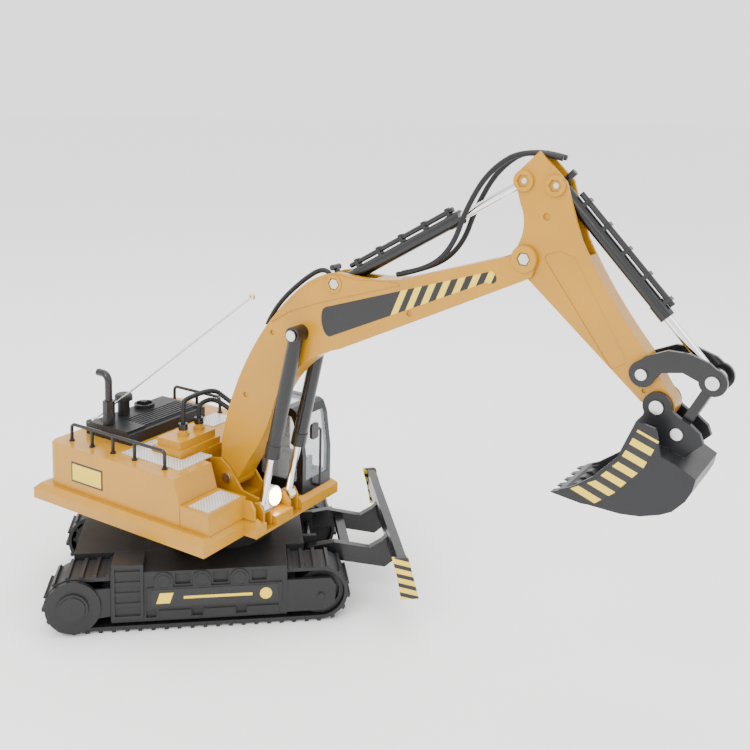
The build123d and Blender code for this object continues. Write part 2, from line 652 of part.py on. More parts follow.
cab_floor_z = flange_top + cab_wall
with BuildPart() as cab_interior:
    block(8, 28, 40, 60, cab_floor_z, cab_floor_z + 12)
    slab([(6, cab_floor_z + 12), (30, cab_floor_z + 12), (30, cab_floor_z + 17), (11, cab_floor_z + 17),
          (5, cab_floor_z + 44), (0, cab_floor_z + 44)], 39, 61)
    for y in (36.5, 63.5):
        block(16, 36, y - 2.5, y + 2.5, cab_floor_z, cab_floor_z + 20)
        post(32, y, 1.2, cab_floor_z + 19, cab_floor_z + 30)
    slab([(48, cab_floor_z), (56, cab_floor_z), (58, cab_floor_z + 24), (54, cab_floor_z + 24)], 44, 56)
finish(cab_interior, "cab_interior")

with BuildPart() as cab_mirror:
    pipe([(cab_front_x, 48, 92), (cab_front_x + 5, 48, 92), (cab_front_x + 5, 48, 146), (cab_front_x + 5, 39, 146)], 1.2, 3.0)
    block(cab_front_x + 4, cab_front_x + 6.4, 33, 43, 139, 153)
    fillet(cab_mirror.edges().filter_by(Axis.X), 2.5)
finish(cab_mirror, "cab_mirror")

# antenna, swung up and forwards over the deck
antenna_base = (rear_x + 5, -32.0, deck_z + 5)
antenna_tip = (59.0, -32.0, 276.0)
with BuildPart() as antenna:
    start = (antenna_base[0], antenna_base[2])
    end = (antenna_tip[0], antenna_tip[2])
    rod_between(start, end, 0, reach(start, end), 0.9, y=antenna_base[1])
    disc(start, 3.4, antenna_base[1] - 2.0, antenna_base[1] + 2.0)
    disc(start, 1.2 + shaft_fit, antenna_base[1] - 4, antenna_base[1] + 4, mode=Mode.SUBTRACT)
    disc(end, 2.6, antenna_base[1] - 1.1, antenna_base[1] + 1.1)
    disc(end, 1.4, antenna_base[1] - 2, antenna_base[1] + 2, mode=Mode.SUBTRACT)
finish(antenna, "antenna")

with BuildPart() as antenna_bracket:
    for hand in (-1, 1):
        y = antenna_base[1]
        block(start[0] - 3, start[0] + 3, y + hand * 2.4, y + hand * 4.4, deck_z, start[1])
        disc(start, 3.0, y + hand * 2.4, y + hand * 4.4)
    disc(start, 1.2, antenna_base[1] - 3, antenna_base[1] + 3)
finish(antenna_bracket, "antenna_bracket")

# ---- boom ---------------------------------------------------------------------------------
foot_radius = 10.0
tip_boss_radius = 9.5
with BuildSketch(Plane.XZ) as boom_outline:
    with BuildLine():
        Line((boom_foot[0] - foot_radius, boom_foot[1]), (9.1, 138.7))
        ThreePointArc((9.1, 138.7), (24.8, 191), (52.7, 241.7))
        ThreePointArc((52.7, 241.7), (70.9, 264.2), (91.3, 283.9))
        ThreePointArc((91.3, 283.9), (108, 294.8), (128, 301.2))
        ThreePointArc((128, 301.2), (156, 299.6), (184.4, 302.2))
        Polyline(
            (184.4, 302.2), (boom_tip[0] - 8, boom_tip[1] + 2), (boom_tip[0] + 9, boom_tip[1] - 2),
            (boom_tip[0] + 6, boom_tip[1] - 12), (boom_tip[0], boom_tip[1] - 15.5), (185.5, 266.2), (131.1, 240.1),
        )
        ThreePointArc((131.1, 240.1), (92.2, 218.7), (66.9, 186))
        ThreePointArc((66.9, 186), (55.4, 154.2), (39.4, 127.6))
        Line((39.4, 127.6), (boom_foot[0] + foot_radius, boom_foot[1]))
        ThreePointArc(
            (boom_foot[0] + foot_radius, boom_foot[1]), (boom_foot[0], boom_foot[1] - foot_radius),
            (boom_foot[0] - foot_radius, boom_foot[1]),
        )
    make_face()
    with Locations(boom_tip):
        Circle(tip_boss_radius)
boom_hollow = offset(boom_outline.sketch, amount=-wall)

arm_run = (arm_rod_pin[0] - arm_cyl_pin[0], arm_rod_pin[1] - arm_cyl_pin[1])
arm_stroke = hypot(*arm_run)
arm_dir = (arm_run[0] / arm_stroke, arm_run[1] / arm_stroke)
bucket_run = (rocker_end[0] - bucket_cyl_pin[0], rocker_end[1] - bucket_cyl_pin[1])
bucket_stroke = hypot(*bucket_run)
bucket_dir = (bucket_run[0] / bucket_stroke, bucket_run[1] / bucket_stroke)
slot_half = boom_half - wall
pocket_half = barrel_radius + 1.0


def beside(start, heading, forward, across):
    """A point so far along a heading from start, and so far to its left."""
    return (start[0] + heading[0] * forward - heading[1] * across, start[1] + heading[1] * forward + heading[0] * across)


with BuildPart() as boom_right_shell:
    extrude(boom_outline.sketch, amount=boom_half)
    extrude(boom_hollow, amount=boom_half - wall, mode=Mode.SUBTRACT)
    disc(boom_tip, tip_boss_radius, -boom_half, -boom_half - 1.6)
    disc(arm_cyl_pin, 7.4, -boom_half, -boom_half - 1.6)
    slab([(63.1, 252), (81.5, 263.5), (111.2, 275), (139.7, 284), (184.6, 298), (180, 299.6), (148.6, 297.5), (128, 299),
          (112, 294), (91.3, 281.2), (68, 255.2)], -boom_half, -boom_half - 0.8)
    hexagon(boom_tip, 5.2, -boom_half, -boom_half - 2, mode=Mode.SUBTRACT)
    hexagon(arm_cyl_pin, 5.2, -boom_half, -boom_half - 2, mode=Mode.SUBTRACT)
    for point in ((63.7, 243.0), (35.3, 184.6), (193.1, 277.5)):
        disc(point, 2.3, -boom_half + 1.4, -boom_half - 1, mode=Mode.SUBTRACT)
    block(boom_tip[0] - 18, boom_tip[0] + 20, -slot_half, 0, boom_tip[1] - 40, boom_tip[1] + 20, mode=Mode.SUBTRACT)
    slab([beside(arm_cyl_pin, arm_dir, -10, -9.5), beside(arm_cyl_pin, arm_dir, 75, -12),
          beside(arm_cyl_pin, arm_dir, 75, 25), beside(arm_cyl_pin, arm_dir, -10, 25)],
         -pocket_half, 0, mode=Mode.SUBTRACT)
    for point, radius in ((boom_foot, 2.5), (boom_tip, pin_radius), (arm_cyl_pin, pin_radius), (boom_cyl_pin, pin_radius)):
        disc(point, radius, 1, -20, mode=Mode.SUBTRACT)
with BuildPart() as boom_left_shell:
    add(mirror(boom_right_shell.part, about=Plane.XZ, mode=Mode.PRIVATE))
finish(boom_right_shell, "boom_right_shell")
finish(boom_left_shell, "boom_left_shell")

boom_eye_out = boom_cyl_y + boom_barrel_radius
with BuildPart() as boom_pins:
    disc(boom_foot, 2.5, -cheek_out - 1.6, cheek_out + 1.6)
    disc(boom_cyl_pin, pin_radius, -boom_eye_out - 1.8, boom_eye_out + 1.8)
    disc(boom_tip, pin_radius, -boom_half - 1.2, boom_half + 1.2)
    disc(arm_cyl_pin, pin_radius, -boom_half - 1.2, boom_half + 1.2)
    for hand in (-1, 1):
        disc(boom_foot, 4.4, hand * (cheek_out + 0.4), hand * (cheek_out + 1.8))
        disc(boom_cyl_pin, 4.4, hand * (boom_eye_out + 0.4), hand * (boom_eye_out + 2.0))
        hexagon(boom_tip, 4.2, hand * boom_half, hand * (boom_half + 1.2))
        hexagon(arm_cyl_pin, 4.2, hand * boom_half, hand * (boom_half + 1.2))
finish(boom_pins, "boom_pins")

# hose along the back of the boom
boom_hose_radius = 1.7
with BuildPart() as boom_hose:
    pipe([(50, 0, 246), (58, 0, 262), (85, 0, 287.5), (108, 0, 302), (114, 0, 294)], boom_hose_radius, 6.0)
    add([boom_right_shell.part, boom_left_shell.part], mode=Mode.SUBTRACT)
finish(boom_hose, "boom_hose")


# ---- hydraulic cylinders ------------------------------------------------------------------
def barrel(start, end, long, radius, stroke_from, y=0.0):
    """A cylinder barrel with its eye, gland and bore; the rod's end stays past stroke_from."""
    half = radius - 0.2
    rod_between(start, end, 0, long, radius - 0.6, y=y)
    rod_between(start, end, long - 12, long, radius, y=y)
    disc(start, radius, y - half, y + half)
    rod_between(start, end, stroke_from, long - 5, rod_radius + 0.5, y=y, mode=Mode.SUBTRACT)
    rod_between(start, end, long - 6, long + 1, rod_radius + shaft_fit, y=y, mode=Mode.SUBTRACT)
    disc(start, pin_radius + shaft_fit, y - half - 1, y + half + 1, mode=Mode.SUBTRACT)


def side_pipe(start, heading, long):
    """The ribbed hydraulic line clipped along the upper side of a barrel."""
    off = barrel_radius + 2.4
    low, high = beside(start, heading, 14, off), beside(start, heading, long - 4, off)
    rod_between(low, high, 0, reach(low, high), 2.0)
    for k in range(5):
        at = 20 + k * (long - 30) / 4
        slab([beside(start, heading, at, barrel_radius - 2), beside(start, heading, at + 3, barrel_radius - 2),
              beside(start, heading, at + 3, off + 2.8), beside(start, heading, at, off + 2.8)], -2.6, 2.6)


def rod(start, end, inner, eye_radius, bore, half, y=0.0):
    """A piston rod with the eye at its far end."""
    long = reach(start, end)
    rod_between(start, end, inner, long, rod_radius, y=y)
    disc(end, eye_radius, y - half, y + half)
    disc(end, bore, y - half - 1, y + half + 1, mode=Mode.SUBTRACT)


boom_barrel_long = 110.6
arm_barrel_long = 121.0
bucket_barrel_long = 113.0
with BuildPart() as boom_barrels:
    for hand in (-1, 1):
        barrel(boom_cyl_pin, boom_cyl_base, boom_barrel_long, boom_barrel_radius, 16, y=hand * boom_cyl_y)
finish(boom_barrels, "boom_barrels")

with BuildPart() as boom_rods:
    for hand in (-1, 1):
        rod(boom_cyl_pin, boom_cyl_base, 34, 6.4, 4.2, eye_half, y=hand * boom_cyl_y)
finish(boom_rods, "boom_rods")

with BuildPart() as arm_barrel:
    barrel(arm_cyl_pin, arm_rod_pin, arm_barrel_long, barrel_radius, 16)
    side_pipe(arm_cyl_pin, arm_dir, arm_barrel_long)
    rod_between(arm_cyl_pin, beside(arm_cyl_pin, arm_dir, 0, 10), 4, 13, 2.4)
    disc(beside(arm_cyl_pin, arm_dir, 0, 13), 2.4, -5.0, 5.0)
    disc(arm_cyl_pin, pin_radius + shaft_fit, -8, 8, mode=Mode.SUBTRACT)
finish(arm_barrel, "arm_barrel")

with BuildPart() as arm_rod:
    rod(arm_cyl_pin, arm_rod_pin, 39, 5.5, 2.2, 4.0)
finish(arm_rod, "arm_rod")

with BuildPart() as bucket_barrel:
    barrel(bucket_cyl_pin, rocker_end, bucket_barrel_long, barrel_radius, 16)
    side_pipe(bucket_cyl_pin, bucket_dir, bucket_barrel_long)
    rod_between(bucket_cyl_pin, beside(bucket_cyl_pin, bucket_dir, 0, 10), 4, 14, 2.4)
    disc(bucket_cyl_pin, pin_radius + shaft_fit, -8, 8, mode=Mode.SUBTRACT)
finish(bucket_barrel, "bucket_barrel")

link_in = rod_radius + 0.8
with BuildPart() as bucket_rod:
    rod(bucket_cyl_pin, rocker_end, 34, 6.4, 3.8, rod_radius + 0.3)
finish(bucket_rod, "bucket_rod")
print("boom")

# ---- arm ----------------------------------------------------------------------------------
arm_end_radius = 10.5
with BuildSketch(Plane.XZ) as arm_outline:
    with BuildLine():
        Polyline((290.7, 404.5), (276.6, 390.6), (arm_rod_pin[0] - 7, arm_rod_pin[1]), (278.2, 367))
        ThreePointArc((278.2, 367), (281.2, 356), (boom_tip[0] - 6, boom_tip[1] + 10))
        Polyline(
            (boom_tip[0] - 6, boom_tip[1] + 10), (boom_tip[0] - 9, boom_tip[1]), (284.5, 316.4), (369.6, 243.5),
            (bucket_pin[0], bucket_pin[1] - 5), (bucket_pin[0] + 9, bucket_pin[1] + 4), (371.6, 276.8),
        )
        ThreePointArc((371.6, 276.8), (345.2, 311), (323.7, 346.5))
        ThreePointArc((323.7, 346.5), (318.2, 363), (311, 385))
        Line((311, 385), (290.7, 404.5))
    make_face()
    with Locations(boom_tip):
        Circle(10.5)
    with Locations(bucket_pin):
        Circle(arm_end_radius)
    with Locations(arm_rod_pin):
        Circle(8.0)
arm_wall = 2.0
arm_hollow = offset(arm_outline.sketch, amount=-arm_wall)
arm_slot = barrel_radius + 0.5
arm_boss_out = 10.4
with BuildPart() as arm_right_shell:
    extrude(arm_outline.sketch, amount=arm_half)
    extrude(arm_hollow, amount=arm_half - arm_wall, mode=Mode.SUBTRACT)
    for point in (arm_rod_pin, bucket_cyl_pin):
        disc(point, 7.3, -arm_half, -arm_boss_out)
        hexagon(point, 4.8, -arm_boss_out + 1.8, -arm_boss_out - 1, mode=Mode.SUBTRACT)
    slab([(296, 333), (308.6, 337.5), (320, 334), (360, 268), (349, 261)], -arm_half + 0.7, -arm_half - 1,
         mode=Mode.SUBTRACT, round_corners=3.0)
    disc((371.6, 250.7), 1.6, -arm_half + 1.5, -arm_half - 1, mode=Mode.SUBTRACT)
    disc((298, 359.8), 2.6, -arm_half + 1.4, -arm_half - 1, mode=Mode.SUBTRACT)
    slab([(255, 362), (284, 362), (300, 336), (350, 336), (350, 412), (255, 412)], -arm_slot, 0, mode=Mode.SUBTRACT)
    for point in (bucket_cyl_pin, rocker_pin, bucket_pin, arm_rod_pin):
        disc(point, pin_radius, 1, -20, mode=Mode.SUBTRACT)
    disc(boom_tip, pin_radius + shaft_fit, 1, -20, mode=Mode.SUBTRACT)
with BuildPart() as arm_left_shell:
    add(mirror(arm_right_shell.part, about=Plane.XZ, mode=Mode.PRIVATE))
finish(arm_right_shell, "arm_right_shell")
finish(arm_left_shell, "arm_left_shell")

ear_in = arm_half + gap
ear_out = ear_in + 4.0
rocker_out = ear_in + 3.0
with BuildPart() as arm_pins:
    disc(bucket_cyl_pin, pin_radius, -arm_boss_out + 1.8, arm_boss_out - 1.8)
    disc(rocker_pin, pin_radius, -rocker_out - 2, rocker_out + 2)
    disc(bucket_pin, pin_radius, -ear_out - 2, ear_out + 2)
    for hand in (-1, 1):
        disc(arm_rod_pin, pin_radius, hand * (arm_slot + 0.1), hand * (arm_boss_out - 1.8))
        disc(rocker_pin, 3.8, hand * (rocker_out + 0.3), hand * (rocker_out + 2.2))
        disc(bucket_pin, 4.6, hand * (ear_out + 0.3), hand * (ear_out + 2.2))
finish(arm_pins, "arm_pins")

# ---- bucket linkage -----------------------------------------------------------------------
with BuildPart() as rockers:
    for hand in (-1, 1):
        y_in, y_out = hand * ear_in, hand * rocker_out
        slab([(364, 268), (371.6, 274.8), (386.2, 281.2), (400.2, 281.3), (412.9, 277.2), (421, 271), (409.2, 259.3),
              (407, 264.1), (396.6, 268.2), (383.3, 265.8), (377.2, 258)], y_in, y_out)
        disc(rocker_pin, 8.7, y_in, y_out)
        disc(rocker_end, 9.0, y_in, y_out)
        disc(rocker_pin, pin_radius + shaft_fit, y_in * 0.9, y_out * 1.2, mode=Mode.SUBTRACT)
        disc(rocker_end, pin_radius, y_in * 0.9, y_out * 1.2, mode=Mode.SUBTRACT)
finish(rockers, "rockers")

with BuildPart() as rocker_pins:
    disc(rocker_end, pin_radius, -rocker_out - 1.2, rocker_out + 1.2)
    for hand in (-1, 1):
        disc(rocker_end, 4.4, hand * rocker_out, hand * (rocker_out + 1.8))
finish(rocker_pins, "rocker_pins")

link_dir_long = reach(rocker_end, link_pin)
with BuildPart() as bucket_link:
    for hand in (-1, 1):
        y_in, y_out = hand * link_in, hand * (ear_in - gap)
        disc(rocker_end, 5.4, y_in, y_out)
        disc(link_pin, 5.6, y_in, y_out)
        heading = ((link_pin[0] - rocker_end[0]) / link_dir_long, (link_pin[1] - rocker_end[1]) / link_dir_long)
        slab([beside(rocker_end, heading, 2, -3.2), beside(rocker_end, heading, link_dir_long - 2, -3.2),
              beside(rocker_end, heading, link_dir_long - 2, 3.2), beside(rocker_end, heading, 2, 3.2)], y_in, y_out)
        disc(rocker_end, pin_radius + shaft_fit, 0, y_out * 2, mode=Mode.SUBTRACT)
        disc(link_pin, pin_radius + 1.4, 0, y_out * 2, mode=Mode.SUBTRACT)
finish(bucket_link, "bucket_link")

# ---- bucket -------------------------------------------------------------------------------
bucket_wall = 2.4
with BuildPart() as bucket_shell:
    slab([(373.4, 236.3), (362.4, 209.6), (346.4, 192.1), (332.2, 181.7), (323, 177.5), (342.6, 172.3), (366.6, 171.6),
          (379.7, 173.3), (392.4, 177.7), (399.8, 181.7), (407.5, 190.3), (411.3, 197.9), (413.2, 206.2),
          (400.4, 213), (390.7, 216.1), (386.4, 233.7)], -bucket_half, bucket_half)
    inside = bucket_half - bucket_wall
    slab([(355, 226), (367.5, 221.6), (391, 217), (400.6, 213.6), (430, 205), (430, 260), (355, 260)],
         -inside, inside, mode=Mode.SUBTRACT)
    slab([(364.8, 219), (389.6, 214.4), (399.6, 210.6), (410.4, 205), (408.8, 198.6), (405.3, 191.6), (398.2, 183.8),
          (391.3, 180), (379.2, 175.7), (366.5, 174), (343, 174.7), (326, 180), (310, 190), (340, 240)],
         -inside, inside, mode=Mode.SUBTRACT)
    for k in range(5):
        y = (k - 2) * (bucket_half - 3.2) / 2
        slab([(317.5, 174.6), (333, 180.6), (345, 172.4), (340, 171.9)], y - 3.2, y + 3.2)
    for hand in (-1, 1):
        slab([(373.0, 236), (369.4, 231.7), (372, 220.4), (392, 216.0), (400.4, 212.5), (412.5, 224.1), (410.2, 230.2),
              (403.6, 235.4), (397.1, 238.1), (392.4, 241.1), (389, 246), (376, 246)], hand * ear_in, hand * ear_out)
        disc(bucket_pin, 9.6, hand * ear_in, hand * ear_out)
        disc(bucket_pin, pin_radius + shaft_fit, hand * ear_in * 0.9, hand * ear_out * 1.1, mode=Mode.SUBTRACT)
        disc(link_pin, pin_radius, hand * ear_in * 0.9, hand * ear_out * 1.1, mode=Mode.SUBTRACT)
finish(bucket_shell, "bucket_shell")

with BuildPart() as bucket_pins:
    disc(link_pin, pin_radius, -ear_out - 1, ear_out + 1)
    for hand in (-1, 1):
        disc(link_pin, 4.0, hand * ear_out, hand * (ear_out + 1.8))
finish(bucket_pins, "bucket_pins")

# hoses from the boom over the stick joint to the top of the arm
with BuildPart() as stick_hoses:
    for hand in (-1, 1):
        pipe([(178, hand * 4, 304.4), (204, hand * 6, 311.5), (228, hand * 8.2, 334), (238, hand * 8.2, 366),
              (256, hand * 7, 392), (282, hand * 3.6, 406), (306, hand * 3.6, 400)], boom_hose_radius, 9.0)
    add([boom_right_shell.part, boom_left_shell.part, arm_right_shell.part, arm_left_shell.part], mode=Mode.SUBTRACT)
finish(stick_hoses, "stick_hoses")
print("arm and bucket")
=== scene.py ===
import bpy
import bmesh
from math import cos, pi, radians, sin
from mathutils import Matrix, Vector


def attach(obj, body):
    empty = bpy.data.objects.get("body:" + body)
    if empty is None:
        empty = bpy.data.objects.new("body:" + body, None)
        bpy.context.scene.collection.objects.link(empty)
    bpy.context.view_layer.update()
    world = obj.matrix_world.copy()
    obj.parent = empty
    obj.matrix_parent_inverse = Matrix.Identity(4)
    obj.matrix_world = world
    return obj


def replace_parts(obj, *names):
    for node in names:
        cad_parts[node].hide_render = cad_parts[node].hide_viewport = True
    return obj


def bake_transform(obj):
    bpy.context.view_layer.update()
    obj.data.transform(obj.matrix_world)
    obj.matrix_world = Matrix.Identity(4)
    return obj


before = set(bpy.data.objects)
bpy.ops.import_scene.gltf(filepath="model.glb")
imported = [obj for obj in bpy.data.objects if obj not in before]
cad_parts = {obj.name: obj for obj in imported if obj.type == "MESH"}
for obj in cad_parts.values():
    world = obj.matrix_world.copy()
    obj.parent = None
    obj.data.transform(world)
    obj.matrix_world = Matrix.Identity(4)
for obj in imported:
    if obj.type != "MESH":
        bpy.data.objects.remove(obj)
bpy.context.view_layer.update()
print("frame loaded:", len(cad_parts), "nodes")

houseHeading = radians(-40.5)  # the upper structure's turn about Z
mm = 0.001
forward = Vector((cos(houseHeading), sin(houseHeading), 0))
leftward = Vector((-sin(houseHeading), cos(houseHeading), 0))
up = Vector((0, 0, 1))


def onHouse(x, y, z):
    # a point given along, across and above the turned upper structure, in mm
    return (forward * x + leftward * y + up * z) * mm


def onTracks(x, y, z):
    return Vector((x, y, z)) * mm


# shader graphs
class Wire:
    def __init__(self, finish, socket):
        self.finish = finish
        self.socket = socket

    def maths(self, operation, first, second):
        return self.finish.add("ShaderNodeMath", {"operation": operation}, {0: first, 1: second})

    def __add__(self, other):
        return self.maths("ADD", self, other)

    def __radd__(self, other):
        return self.maths("ADD", other, self)

    def __sub__(self, other):
        return self.maths("SUBTRACT", self, other)

    def __rsub__(self, other):
        return self.maths("SUBTRACT", other, self)

    def __mul__(self, other):
        return self.maths("MULTIPLY", self, other)

    def __rmul__(self, other):
        return self.maths("MULTIPLY", other, self)

    def __truediv__(self, other):
        return self.maths("DIVIDE", self, other)

    def __gt__(self, other):
        return self.maths("GREATER_THAN", self, other)

    def __lt__(self, other):
        return self.maths("LESS_THAN", self, other)

    def fraction(self):
        return self.maths("FRACT", self, 0)


class Finish:
    def __init__(self, name, **constants):
        self.material = bpy.data.materials.new(name)
        self.material.use_nodes = True
        self.tree = self.material.node_tree
        self.shader = self.tree.nodes["Principled BSDF"]
        for socket, value in constants.items():
            self.shader.inputs[socket.replace("_", " ")].default_value = value
        self.place = self.add("ShaderNodeTexCoord", {}, {}, "Object")

    def add(self, kind, settings, inputs, output=0):
        node = self.tree.nodes.new(kind)
        for key, value in settings.items():
            setattr(node, key, value)
        for key, value in inputs.items():
            if isinstance(value, Wire):
                self.tree.links.new(value.socket, node.inputs[key])
            else:
                node.inputs[key].default_value = value
        return Wire(self, node.outputs[output])

    def feed(self, socket, wire):
        self.tree.links.new(wire.socket, self.shader.inputs[socket])

    def noise(self, scale, detail=3.0, stretch=(1, 1, 1)):
        spread = self.add("ShaderNodeMapping", {}, {"Vector": self.place, "Scale": stretch})
        sockets = {"Vector": spread, "Scale": scale, "Detail": detail}
        return self.add("ShaderNodeTexNoise", {}, sockets, "Fac")

    def ramp(self, value, low, high, lowTo=0.0, highTo=1.0):
        sockets = {"Value": value, "From Min": low, "From Max": high, "To Min": lowTo, "To Max": highTo}
        return self.add("ShaderNodeMapRange", {"clamp": True}, sockets)

    def blend(self, factor, first, second):
        return self.add("ShaderNodeMix", {"data_type": "RGBA"}, {0: factor, 6: first, 7: second}, 2)

    def axis(self, direction):
        # how far along a direction a point of the surface lies, in mm
        return self.add("ShaderNodeVectorMath", {"operation": "DOT_PRODUCT"},
                        {0: self.place, 1: tuple(direction)}, "Value") * 1000

    def bump(self, height, strength, distance, edge=0.0):
        inputs = {"Height": height, "Strength": strength, "Distance": distance}
        if edge:
            inputs["Normal"] = self.add("ShaderNodeBevel", {"samples": 4}, {"Radius": edge})
        self.feed("Normal", self.add("ShaderNodeBump", {}, inputs))


def shade(colour, factor):
    return tuple(min(1, c * factor) for c in colour[:3]) + (1,)


def mouldedPlastic(name, colour, roughness, grain=0.12, coat=0.0, edge=0.0007):
    finish = Finish(name, Coat_Roughness=0.12, IOR=1.5, Specular_IOR_Level=0.35)
    cloud = finish.noise(22)
    speck = finish.noise(1900, 2)
    patches = finish.ramp(cloud, 0.35, 0.65)
    finish.feed("Base Color", finish.blend(patches, shade(colour, 0.95), shade(colour, 1.05)))
    rub = cloud * 0.6 + finish.noise(160) * 0.4
    finish.feed("Roughness", finish.ramp(rub, 0.3, 0.7, roughness - 0.05, roughness + 0.07))
    if coat:
        finish.feed("Coat Weight", finish.ramp(cloud, 0.3, 0.7, coat, coat * 0.8))
    finish.bump(speck, grain, 0.0001, edge)
    return finish.material


def brushedMetal(name, colour, roughness, edge=0.0004):
    finish = Finish(name, Metallic=1.0)
    streak = finish.noise(700, 2, (1, 1, 0.08))
    finish.feed("Base Color", finish.blend(streak, shade(colour, 0.88), shade(colour, 1.06)))
    finish.feed("Roughness", finish.ramp(streak, 0.3, 0.7, roughness - 0.05, roughness + 0.1))
    finish.bump(streak, 0.15, 0.0001, edge)
    return finish.material


def trackPlastic(name, colour):
    finish = Finish(name, IOR=1.46)
    dust = finish.noise(55, 4)
    finish.feed("Base Color", finish.blend(finish.ramp(dust, 0.45, 0.75), colour, shade(colour, 1.7)))
    finish.feed("Roughness", finish.ramp(dust, 0.3, 0.7, 0.42, 0.62))
    finish.bump(finish.noise(900, 3), 0.35, 0.0002, 0.0006)
    return finish.material


def clearPane(name):
    finish = Finish(name, Roughness=0.04, IOR=1.45)
    smear = finish.noise(40)
    finish.feed("Alpha", finish.ramp(smear, 0.3, 0.7, 0.2, 0.26))
    finish.feed("Base Color", finish.blend(smear, (0.55, 0.6, 0.66, 1), (0.72, 0.77, 0.82, 1)))
    return finish.material


def treadPlate(name, pitch=3.2):
    finish = Finish(name, Metallic=0.55)
    one = finish.axis(forward + leftward)
    other = finish.axis(forward - leftward)
    bars = ((one / pitch).fraction() > 0.72) + ((other / pitch).fraction() > 0.72)
    bars = finish.ramp(bars, 0, 1)
    finish.feed("Base Color", finish.blend(bars, (0.52, 0.52, 0.5, 1), (0.93, 0.93, 0.91, 1)))
    finish.feed("Roughness", finish.ramp(bars, 0, 1, 0.5, 0.28))
    finish.bump(bars, 0.8, 0.0004, 0.0002)
    return finish.material


def stripedSticker(name, dark, light, along, pitch, share, start, stop, span):
    # slanted stripes between two places along the sticker, on a plain ground elsewhere
    finish = Finish(name, Coat_Roughness=0.08, IOR=1.5)
    run = finish.axis(along) - start
    inside = (finish.axis(span) > start) * (finish.axis(span) < stop)
    stripe = ((run / pitch).fraction() < share) * inside
    wear = finish.noise(120, 4)
    worn = finish.blend(finish.ramp(wear, 0.3, 0.8), light, shade(light, 0.9))
    finish.feed("Base Color", finish.blend(stripe, dark, worn))
    finish.feed("Roughness", finish.ramp(wear, 0.3, 0.7, 0.26, 0.4))
    finish.bump(wear, 0.05, 0.0001)
    return finish.material


def glow(name, colour, strength):
    finish = Finish(name, Roughness=0.3, Emission_Strength=strength)
    hot = finish.noise(80)
    finish.feed("Emission Color", finish.blend(hot, shade(colour, 0.96), colour))
    finish.feed("Base Color", finish.blend(hot, shade(colour, 0.9), colour))
    return finish.material


yellow = (0.46, 0.215, 0.006, 1)
stripeYellow = (0.82, 0.58, 0.03, 1)
nearBlack = (0.006, 0.006, 0.007, 1)
softBlack = (0.011, 0.011, 0.012, 1)
finishes = {
    "yellow": mouldedPlastic("orangeYellowShell", yellow, 0.3, coat=0.25),
    "black": mouldedPlastic("blackMoulding", softBlack, 0.4, grain=0.25),
    "glossBlack": mouldedPlastic("glossBlackMoulding", nearBlack, 0.28, coat=0.3),
    "bucket": mouldedPlastic("bucketBlack", (0.013, 0.013, 0.015, 1), 0.36, grain=0.2),
    "track": trackPlastic("trackRubberyBlack", (0.009, 0.009, 0.01, 1)),
    "chrome": brushedMetal("polishedRod", (0.88, 0.88, 0.9), 0.12),
    "steel": brushedMetal("screwSteel", (0.72, 0.71, 0.7), 0.3),
    "silver": brushedMetal("antennaSteel", (0.8, 0.8, 0.82), 0.22),
    "glass": clearPane("cabGlazing"),
    "tread": treadPlate("whiteTreadPlate"),
    "stickerYellow": mouldedPlastic("stickerYellow", stripeYellow[:3], 0.3, grain=0.05),
    "hose": mouldedPlastic("hoseBlack", (0.008, 0.008, 0.009, 1), 0.45, grain=0.2),
    "lamp": mouldedPlastic("lampBowl", (0.9, 0.9, 0.88), 0.2, coat=0.4),
    "glow": glow("lampLens", (1.0, 0.86, 0.62, 1), 16.0),
    "board": mouldedPlastic("boardGreen", (0.03, 0.17, 0.07), 0.4),
    "cells": mouldedPlastic("batteryWrap", (0.05, 0.13, 0.32), 0.3),
}
boomAlong = forward + up * -0.42
stripes = {  # the way the stripes run, their pitch in mm, the painted share, and where they start and stop
    "boomSticker": ("boomStickerStripes", boomAlong, 10.4, 0.5, 62.0, 400.0, boomAlong),
    "bucketStripes": ("bucketStickerStripes", forward * 0.35 + up, 10.6, 0.5, 0.0, 2000.0, forward),
    "bladeStripes": ("bladeEndStripes", Vector((0.3, 0, 1)), 7.8, 0.55, 0.0, 2000.0, Vector((1, 0, 0))),
}
for finishName, (materialName, *layout) in stripes.items():
    finishes[finishName] = stripedSticker(materialName, nearBlack, stripeYellow, *layout)
print("finishes made:", len(finishes))

# the frame's own pieces
groupFinish = {
    "yellow": ["valve_block", "house_floor", "deck_shell", "counterweight", "step_box", "boom_mount",
               "boom_right_shell", "boom_left_shell", "arm_right_shell", "arm_left_shell"],
    "track": ["left_track_belt", "right_track_belt", "left_sprocket", "right_sprocket", "left_idler",
              "right_idler"],
    "black": ["left_track_frame", "right_track_frame", "chassis_frame", "final_drive_covers",
              "idler_yokes", "slew_ring", "battery_cover", "power_switch", "engine_cover",
              "cab_interior", "precleaner"],
    "glossBlack": ["cab_shell", "cab_mirror", "handrails", "exhaust_stack", "boom_barrels", "arm_barrel",
                   "bucket_barrel", "antenna_bracket", "bucket_link", "rockers", "blade_arms",
                   "blade_plate"],
    "bucket": ["bucket_shell"],
    "chrome": ["boom_rods", "arm_rod", "bucket_rod"],
    "steel": ["boom_pins", "arm_pins", "rocker_pins", "bucket_pins", "slew_retainer", "drive_motors",
              "slew_motor"],
    "silver": ["antenna"],
    "glass": ["cab_windows"],
    "tread": ["deck_treads"],
    "hose": ["valve_hoses", "boom_hose", "stick_hoses"],
    "lamp": ["headlamp"],
    "board": ["circuit_board"],
    "cells": ["battery_pack"],
    "bladeStripes": ["blade_side_plates"],
}
for finishName, members in groupFinish.items():
    for member in members:
        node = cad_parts[member]
        node.data.materials.clear()
        node.data.materials.append(finishes[finishName])
print("frame pieces finished")


